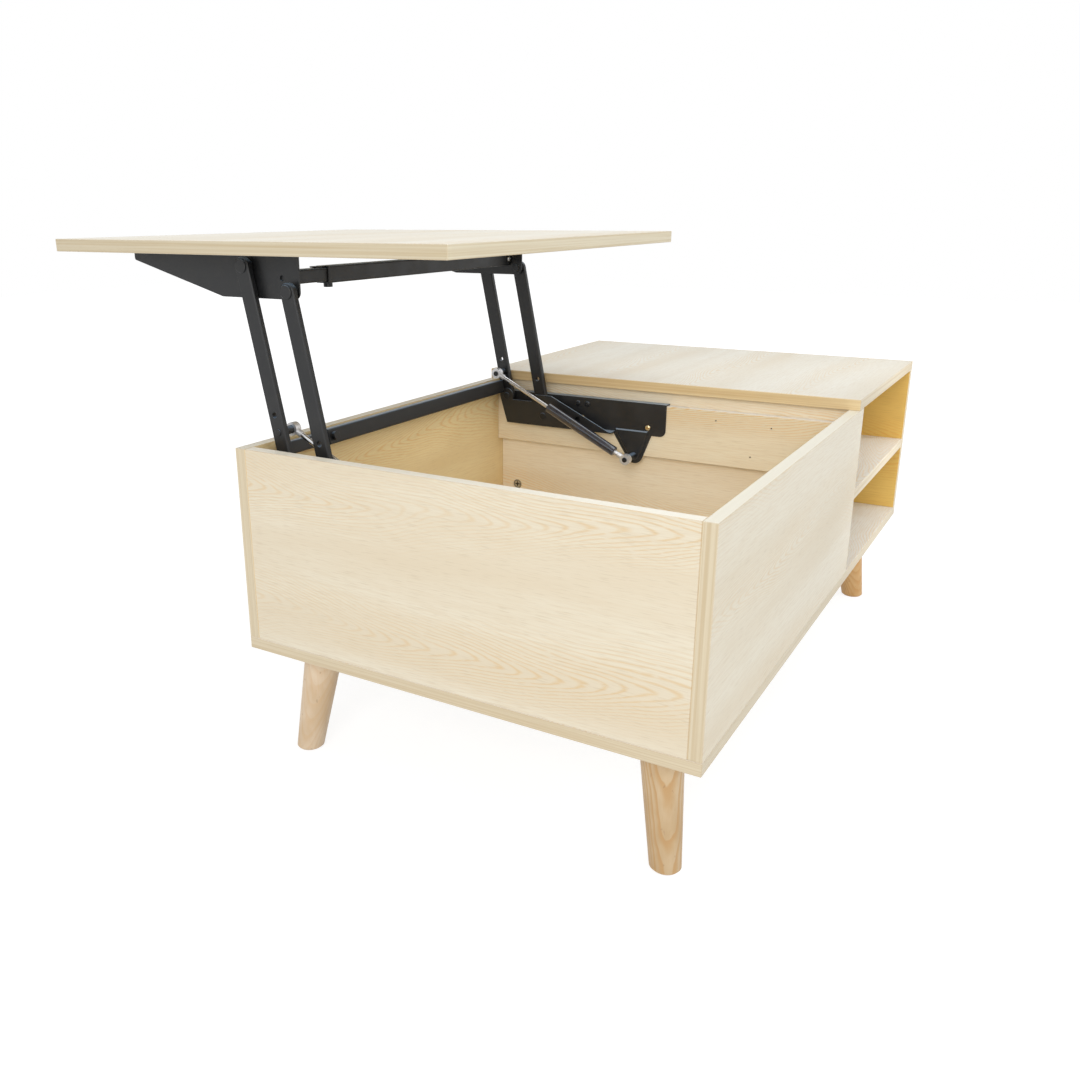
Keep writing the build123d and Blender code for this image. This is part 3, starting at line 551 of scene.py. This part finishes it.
def plated(name, bright, dull, roughness, waves):
    """Plated metal with dull patches, and streaks with the given waves per metre along X."""
    graph = Graph(name)
    point = graph.point()
    place = graph.split(point)
    patches = graph.noise(point, detail=4.0, scale=PLATE_PATCHES)
    brushed = graph.vector(
        graph.scaled(place["X"], waves),
        graph.scaled(place["Y"], STREAKS_FINE),
        graph.scaled(place["Z"], STREAKS_FINE),
    )
    streaks = graph.noise(brushed, detail=3.0)
    colour = graph.mix(graph.step(patches, *PLATE_LEVELS), bright, dull)
    graph.bump(streaks, STREAK_DEPTH, STREAK_STRENGTH)
    patchy = graph.step(patches, *PLATE_RANGE, roughness, roughness + PLATE_SPREAD)
    graph.set(Base_Color=colour, Metallic=1.0, Roughness=patchy)
    return graph.material


def finish(name, material):
    """Gives a CAD node one material."""
    mesh = nodes[name].data
    mesh.materials.clear()
    mesh.materials.append(material)


# Boards: axes along the grain, across it and through the board, and painted light and shade on the faces that look
# one way
BOARDS = {
    "bottom_panel": ("XYZ", [("Z", 1.0, SHELF_PAINTED_LIGHT)]),
    "side_panel_user": ("XZY", [("Y", 1.0, INNER_PAINTED_BOUNCE)]),
    "side_panel_shelf": ("XZY", [("Y", -1.0, INNER_PAINTED_BOUNCE)]),
    "end_panel_near": ("YZX", [("X", -1.0, INNER_PAINTED_BOUNCE), ("Z", 1.0, RIM_PAINTED_HIGHLIGHT)]),
    "end_panel_far": ("YZX", [("X", 1.0, BAY_BACK_PAINTED_SHADE)]),
    "divider_panel": ("YZX", [("X", 1.0, DIVIDER_PAINTED_LIGHT), ("X", -1.0, INNER_PAINTED_BOUNCE)]),
    "shelf": ("XYZ", [("Z", 1.0, SHELF_PAINTED_LIGHT)]),
    "fixed_top": ("XYZ", [("X", 1.0, INNER_EDGE_PAINTED_LIGHT), ("Z", 1.0, TOP_PAINTED_SKYLIGHT)]),
    "lift_top": ("XYZ", [("X", 1.0, LIFT_EDGE_PAINTED_SHADE), ("Y", 1.0, LIFT_EDGE_PAINTED_LIGHT), ("Z", 1.0, TOP_PAINTED_SKYLIGHT)]),
    "mounting_rail_near": ("YZX", [("X", -1.0, RAIL_PAINTED_LIGHT)]),
    "mounting_rail_far": ("YZX", [("X", 1.0, RAIL_PAINTED_LIGHT), ("Z", 1.0, RAIL_TOP_PAINTED_HIGHLIGHT)]),
}
STRONG_BOARDS = ("divider_panel", "mounting_rail_near", "mounting_rail_far")
for seed, (name, (axes, painted_light_tones)) in enumerate(BOARDS.items()):
    figure = STRONG_FIGURE if name in STRONG_BOARDS else FIGURE
    finish(name, laminate(f"laminate_{name}", axes, painted_light_tones, figure, float(seed)))

# The legs differ a little in tone and in the strength of their rings, as solid wood does; their tones are also
# partly painted light and shade, lighter on shaded legs and darker on the brightly lit one
LEGS = {
    "near_user": ((1.12, 1.20, 1.40, 1.0), 0.24),
    "near_shelf": ((0.90, 0.89, 0.86, 1.0), 0.80),
    "far_user": ((1.00, 0.92, 0.78, 1.0), 0.45),
    "far_shelf": ((1.09, 0.91, 0.64, 1.0), 0.55),
}
for seed, (corner, (tone, figure)) in enumerate(LEGS.items()):
    low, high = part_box(f"leg_{corner}")
    wood = leg_wood(f"wood_leg_{corner}", (low + high) / 2, float(seed), tone, figure)
    finish(f"leg_{corner}", wood)

finishes = {
    "powder_black": powder_coat("powder_black", BLACK_COAT, BLACK_PAINTED_SKY, COAT_SPECULAR),
    # The base brackets' copy of the coat has a brighter painted sky reflection
    "powder_bracket": powder_coat("powder_bracket", BRACKET_COAT, BRACKET_PAINTED_SKY, BRACKET_SPECULAR),
    "spring_black": gloss_coat(),
    "chrome": plated("chrome", CHROME, CHROME_DULL, CHROME_ROUGHNESS, STREAKS_FINE),
    "satin_chrome": plated("satin_chrome", CHROME, CHROME_DULL, SATIN_ROUGHNESS, STREAKS_FINE),
    "brass_screw": plated("brass_screw", BRASS, BRASS_DULL, BRASS_ROUGHNESS, STREAKS_FINE),
    "zinc_hardware": plated("zinc_hardware", ZINC, ZINC_DULL, ZINC_ROUGHNESS, STREAKS_LONG),
    "leg_wood": leg_wood("wood_dowels", (0.0, 0.0), DOWEL_SEED, WHITE, DOWEL_FIGURE),
}
for part in frame["record"]["subparts"]:
    name = part["node"]
    if name not in BOARDS and not name.startswith(("leg_near", "leg_far")):
        finish(name, finishes[part["material_slot"]])
for side in ("near", "far"):
    finish(f"base_bracket_{side}", finishes["powder_bracket"])
    for end in ("lower", "upper"):
        finish(f"gas_{end}_eye_{side}", finishes["satin_chrome"])


# Screws and cams with cross recesses, and the seals on the gas springs, in metres
SCREW_HEAD_RADIUS = 0.0042
SCREW_HEAD_HEIGHT = 0.0022
SCREW_SHANK_RADIUS = 0.0020
SCREW_POINT = 0.0030
RECESS_LENGTH = 0.0048
RECESS_WIDTH = 0.0011
RECESS_DEPTH = 0.0013
CAM_RADIUS = 0.0074
CAM_EDGE = 0.0005
CAM_RING_OUTER = 0.0062
CAM_RING_INNER = 0.0055
CAM_RING_DEPTH = 0.0006
CAM_CROSS_LENGTH = 0.0084
CAM_CROSS_WIDTH = 0.0019
CAM_CROSS_DEPTH = 0.0020
# Depth below a cam's face where the black painted shade begins
CAM_PAINTED_SHADE_BELOW = -0.0001
SEAL_INNER = 0.0031
SEAL_OUTER = 0.0052
SEAL_HEIGHT = 0.0011
DARK_SCREW_Z = 0.362
WELD_WITHIN = 0.00001

# Shares of a screw head's height and of a seal's half height and radius, steps, and an angle in degrees
SCREW_DOME_SHARE = 0.65
SEAL_SHOULDER = 0.4
SEAL_LIP = 0.9
TURN_STEPS = 28
DOME_STEPS = 5
SMOOTH_BELOW = 35.0


def lathe(profile):
    """A closed solid of revolution about Z from pairs of radius and height, from bottom to top."""
    shape = bmesh.new()
    rings = []
    for radius, height in profile:
        if radius == 0.0:
            rings.append([shape.verts.new((0.0, 0.0, height))])
            continue
        turns = [2 * pi * n / TURN_STEPS for n in range(TURN_STEPS)]
        rings.append([shape.verts.new((radius * cos(t), radius * sin(t), height)) for t in turns])
    for low, high in zip(rings, rings[1:]):
        for n in range(TURN_STEPS):
            m = (n + 1) % TURN_STEPS
            corners = [low[n % len(low)], low[m % len(low)], high[m % len(high)], high[n % len(high)]]
            shape.faces.new(dict.fromkeys(corners))
    bmesh.ops.recalc_face_normals(shape, faces=shape.faces)
    return shape


def as_object(name, shape):
    """A new object in the scene with the shape as its mesh."""
    mesh = bpy.data.meshes.new(name)
    shape.to_mesh(mesh)
    shape.free()
    piece = bpy.data.objects.new(name, mesh)
    bpy.context.scene.collection.objects.link(piece)
    return piece


def stand(place, way):
    """The transform that takes the origin to place and Z to way."""
    return Matrix.Translation(place) @ way.to_track_quat("Z", "Y").to_matrix().to_4x4()


def smooth(piece):
    """Smooth shading, apart from sharp edges."""
    piece.data.shade_smooth()
    piece.data.set_sharp_from_angle(angle=radians(SMOOTH_BELOW))


def recessed(profile, length, width, depth):
    """A turned solid with a cross recess in its top, as a mesh."""
    turned = as_object("turned_pattern", lathe(profile))
    cross = bmesh.new()
    for across, along in ((width, length), (length, width)):
        arm = bmesh.ops.create_cube(cross, size=1.0)["verts"]
        bmesh.ops.scale(cross, vec=(across, along, 2 * depth), verts=arm)
        bmesh.ops.translate(cross, vec=(0.0, 0.0, profile[-1][1]), verts=arm)
    cutter = as_object("cross_pattern", cross)
    recess = turned.modifiers.new("recess", "BOOLEAN")
    recess.operation = "DIFFERENCE"
    recess.use_self = True
    recess.object = cutter
    bpy.context.view_layer.update()
    cut = turned.evaluated_get(bpy.context.evaluated_depsgraph_get())
    made = bpy.data.meshes.new_from_object(cut)
    for used in (turned, cutter):
        bpy.data.objects.remove(used)
    return made


def cross_screw(span):
    """A pan head screw that points down from the top of its head at the origin."""
    angles = [0.5 * pi * n / DOME_STEPS for n in range(DOME_STEPS)]
    rise = SCREW_HEAD_HEIGHT * SCREW_DOME_SHARE
    dome = [(SCREW_HEAD_RADIUS * cos(a), rise * (sin(a) - 1.0)) for a in angles]
    seat = -SCREW_HEAD_HEIGHT
    profile = [(0.0, -span), (SCREW_SHANK_RADIUS, SCREW_POINT - span), (SCREW_SHANK_RADIUS, seat)]
    profile += [(SCREW_HEAD_RADIUS, seat)] + dome + [(0.0, 0.0)]
    return recessed(profile, RECESS_LENGTH, RECESS_WIDTH, RECESS_DEPTH)


def cross_cam(span):
    """A cam lock with a ring turned in its face, which lies at the origin."""
    profile = [(0.0, -span), (CAM_RADIUS, -span)]
    profile += [(CAM_RADIUS, -CAM_EDGE), (CAM_RADIUS - CAM_EDGE, 0.0)]
    profile += [(CAM_RING_OUTER, 0.0), (CAM_RING_OUTER, -CAM_RING_DEPTH)]
    profile += [(CAM_RING_INNER, -CAM_RING_DEPTH), (CAM_RING_INNER, 0.0), (0.0, 0.0)]
    return recessed(profile, CAM_CROSS_LENGTH, CAM_CROSS_WIDTH, CAM_CROSS_DEPTH)


def islands(name):
    """The middle and size of each separate solid of a CAD node."""
    shape = bmesh.new()
    shape.from_mesh(nodes[name].data)
    bmesh.ops.remove_doubles(shape, verts=shape.verts, dist=WELD_WITHIN)
    left = set(shape.verts)
    found = []
    while left:
        group = [left.pop()]
        for vert in group:
            for edge in vert.link_edges:
                other = edge.other_vert(vert)
                if other in left:
                    left.remove(other)
                    group.append(other)
        low = Vector([min(v.co[axis] for v in group) for axis in range(3)])
        high = Vector([max(v.co[axis] for v in group) for axis in range(3)])
        found.append(((low + high) / 2, high - low))
    shape.free()
    return found


def fasteners(node, body, pattern, head_way, materials, tone):
    """Stands detailed fasteners in for a CAD node's plain ones, with heads towards head_way(middle) and
    each face in the material that tone(middle, face) picks."""
    shape = bmesh.new()
    for middle, size in islands(node):
        way = head_way(middle)
        span = max(abs(size[axis] * way[axis]) for axis in range(3))
        made = pattern(span)
        for face in made.polygons:
            face.material_index = tone(middle, face)
        made.transform(stand(middle + way * span / 2, way))
        shape.from_mesh(made)
    piece = as_object(f"{node}_cross", shape)
    for material in materials:
        piece.data.materials.append(material)
    smooth(piece)
    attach(piece, body)
    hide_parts(node)


def towards_bay(middle):
    """Along X, from a rail towards the middle of the storage bay."""
    bay = (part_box("mounting_rail_far")[1].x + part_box("mounting_rail_near")[0].x) / 2
    return Vector((1.0 if middle.x < bay else -1.0, 0.0, 0.0))


def rod_seal(side):
    """A wiper ring round the rod where it leaves the cylinder."""
    stroke = next(joint for joint in frame["joints"] if joint["name"] == f"{side}_spring_stroke")
    way = Vector(stroke["axis"]).normalized()
    points = [vert.co for vert in nodes[f"gas_cylinder_{side}"].data.vertices]
    rod = [vert.co for vert in nodes[f"gas_rod_{side}"].data.vertices]
    middle = sum(rod, Vector()) / len(rod)
    if way.dot(middle - sum(points, Vector()) / len(points)) < 0.0:
        way = -way
    top = max(way.dot(point) for point in points)
    mouth = middle + way * (top - way.dot(middle))
    half = SEAL_HEIGHT / 2
    profile = [(SEAL_INNER, -half), (SEAL_OUTER, -half), (SEAL_OUTER, half * SEAL_SHOULDER)]
    profile += [(SEAL_OUTER * SEAL_LIP, half), (SEAL_INNER, half), (SEAL_INNER, -half)]
    piece = as_object(f"gas_seal_{side}", lathe(profile))
    piece.data.transform(stand(mouth, way))
    piece.data.materials.append(finishes["zinc_hardware"])
    smooth(piece)
    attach(piece, f"{side}_spring_cylinder")


def downwards(middle):
    """Down, from the lifting top."""
    return Vector((0.0, 0.0, -1.0))


def to_shelf_side(middle):
    """Along Y, towards the open bays."""
    return Vector((0.0, 1.0, 0.0))


def one_tone(middle, face):
    """The first material on every face."""
    return 0


def dark_under_lip(middle, face):
    """The screws close under a bracket's lip are black, the others bright."""
    return int(middle.z > DARK_SCREW_Z)


def painted_shade_in_recess(middle, face):
    """A cam's recesses and rim are black as painted shade, its face bright."""
    # Black painted shade on the faces below the cam's face
    return int(face.center.z < CAM_PAINTED_SHADE_BELOW)


black = finishes["powder_black"]
brass = finishes["brass_screw"]
zinc = finishes["zinc_hardware"]
fasteners("bracket_screws", "case", cross_screw, towards_bay, [brass, black], dark_under_lip)
# Black painted shade in the cams' recesses and on their rims
fasteners("cam_locks", "case", cross_cam, towards_bay, [zinc, black], painted_shade_in_recess)
fasteners("top_screws", "lifting_top", cross_screw, downwards, [zinc], one_tone)
fasteners("upper_bar_end_screw", "lifting_top", cross_screw, to_shelf_side, [zinc], one_tone)
for side in ("near", "far"):
    rod_seal(side)


def background_ray(tree):
    """One where a ray comes from the camera, from metal or through glass, and zero elsewhere."""
    path = tree.nodes.new("ShaderNodeLightPath")
    found = path.outputs["Is Camera Ray"]
    for kind in ("Is Glossy Ray", "Is Transmission Ray"):
        either = tree.nodes.new("ShaderNodeMath")
        either.operation = "MAXIMUM"
        tree.links.new(found, either.inputs[0])
        tree.links.new(path.outputs[kind], either.inputs[1])
        found = either.outputs[0]
    return found


def studio_world():
    """A surround that is white to look at and lights the table evenly."""
    world = bpy.data.worlds.new("studio")
    world.use_nodes = True
    tree = world.node_tree
    light = tree.nodes["Background"]
    light.inputs["Color"].default_value = WHITE
    light.inputs["Strength"].default_value = AMBIENT
    seen = tree.nodes.new("ShaderNodeBackground")
    seen.inputs["Color"].default_value = WHITE
    choice = tree.nodes.new("ShaderNodeMixShader")
    tree.links.new(background_ray(tree), choice.inputs[0])
    tree.links.new(light.outputs[0], choice.inputs[1])
    tree.links.new(seen.outputs[0], choice.inputs[2])
    tree.links.new(choice.outputs[0], tree.nodes["World Output"].inputs["Surface"])
    bpy.context.scene.world = world


def studio_floor():
    """A white floor that keeps the table's shadow and runs into the white background."""
    bpy.ops.mesh.primitive_plane_add(size=FLOOR_SIDE, location=(0, 0, -FLOOR_DROP))
    floor = bpy.context.object
    floor.name = "floor"
    material = bpy.data.materials.new("floor_white")
    material.use_nodes = True
    tree = material.node_tree
    bounce = tree.nodes["Principled BSDF"]
    bounce.inputs["Base Color"].default_value = (FLOOR_BOUNCE, FLOOR_BOUNCE, FLOOR_BOUNCE, 1.0)
    bounce.inputs["Roughness"].default_value = FLOOR_ROUGHNESS
    matte = tree.nodes.new("ShaderNodeBsdfDiffuse")
    matte.inputs["Color"].default_value = (FLOOR_ALBEDO, FLOOR_ALBEDO, FLOOR_ALBEDO, 1.0)
    glow = tree.nodes.new("ShaderNodeEmission")
    place = tree.nodes.new("ShaderNodeTexCoord")
    away = tree.nodes.new("ShaderNodeVectorMath")
    away.operation = "LENGTH"
    tree.links.new(place.outputs["Object"], away.inputs[0])
    fade = tree.nodes.new("ShaderNodeMapRange")
    tree.links.new(away.outputs["Value"], fade.inputs["Value"])
    fade.inputs["From Min"].default_value = FLOOR_FADE[0]
    fade.inputs["From Max"].default_value = FLOOR_FADE[1]
    fade.inputs["To Min"].default_value = FLOOR_GLOW
    tree.links.new(fade.outputs[0], glow.inputs["Strength"])
    seen = tree.nodes.new("ShaderNodeAddShader")
    tree.links.new(matte.outputs[0], seen.inputs[0])
    tree.links.new(glow.outputs[0], seen.inputs[1])
    choice = tree.nodes.new("ShaderNodeMixShader")
    tree.links.new(background_ray(tree), choice.inputs[0])
    tree.links.new(bounce.outputs[0], choice.inputs[1])
    tree.links.new(seen.outputs[0], choice.inputs[2])
    tree.links.new(choice.outputs[0], tree.nodes["Material Output"].inputs["Surface"])
    material.cycles.emission_sampling = "NONE"
    floor.data.materials.append(material)


def hang(name, lamp, place, aim):
    """A lamp's object, which shines from place towards aim."""
    hung = bpy.data.objects.new(name, lamp)
    hung.location = place
    hung.rotation_euler = (Vector(aim) - Vector(place)).to_track_quat("-Z", "Y").to_euler()
    bpy.context.scene.collection.objects.link(hung)
    return hung


def softbox(name, place, aim, side, power, colour):
    """A square area lamp."""
    lamp = bpy.data.lights.new(name, "AREA")
    lamp.color = colour
    lamp.shape = "SQUARE"
    lamp.size = side
    lamp.energy = power
    hang(name, lamp, place, aim)


def shelf_spot():
    """A soft spotlight into the open bays, which leaves no glare on the closed top."""
    lamp = bpy.data.lights.new("shelf", "SPOT")
    lamp.spot_size = radians(SPOT_CONE)
    lamp.spot_blend = SPOT_BLEND
    lamp.shadow_soft_size = SPOT_RADIUS
    lamp.energy = SPOT_POWER
    hang("shelf", lamp, SPOT_PLACE, SPOT_AIM).visible_glossy = False


def photo_camera():
    """A camera that sees the table as the photograph does."""
    lens = bpy.data.cameras.new("camera")
    lens.sensor_width = CAMERA_SENSOR
    lens.lens = CAMERA_LENS
    lens.shift_x, lens.shift_y = CAMERA_SHIFT
    camera = bpy.data.objects.new("camera", lens)
    turn = Matrix.Rotation(radians(CAMERA_HEADING - 90.0), 4, "Z")
    tilt = Matrix.Rotation(radians(CAMERA_PITCH + 90.0), 4, "X")
    roll = Matrix.Rotation(radians(CAMERA_ROLL), 4, "Z")
    camera.matrix_world = Matrix.Translation(CAMERA_PLACE) @ turn @ tilt @ roll
    bpy.context.scene.collection.objects.link(camera)
    bpy.context.scene.camera = camera


studio_world()
studio_floor()
for name, settings in SOFTBOXES.items():
    softbox(name, *settings)
shelf_spot()
photo_camera()
bpy.context.scene.view_settings.view_transform = "Standard"
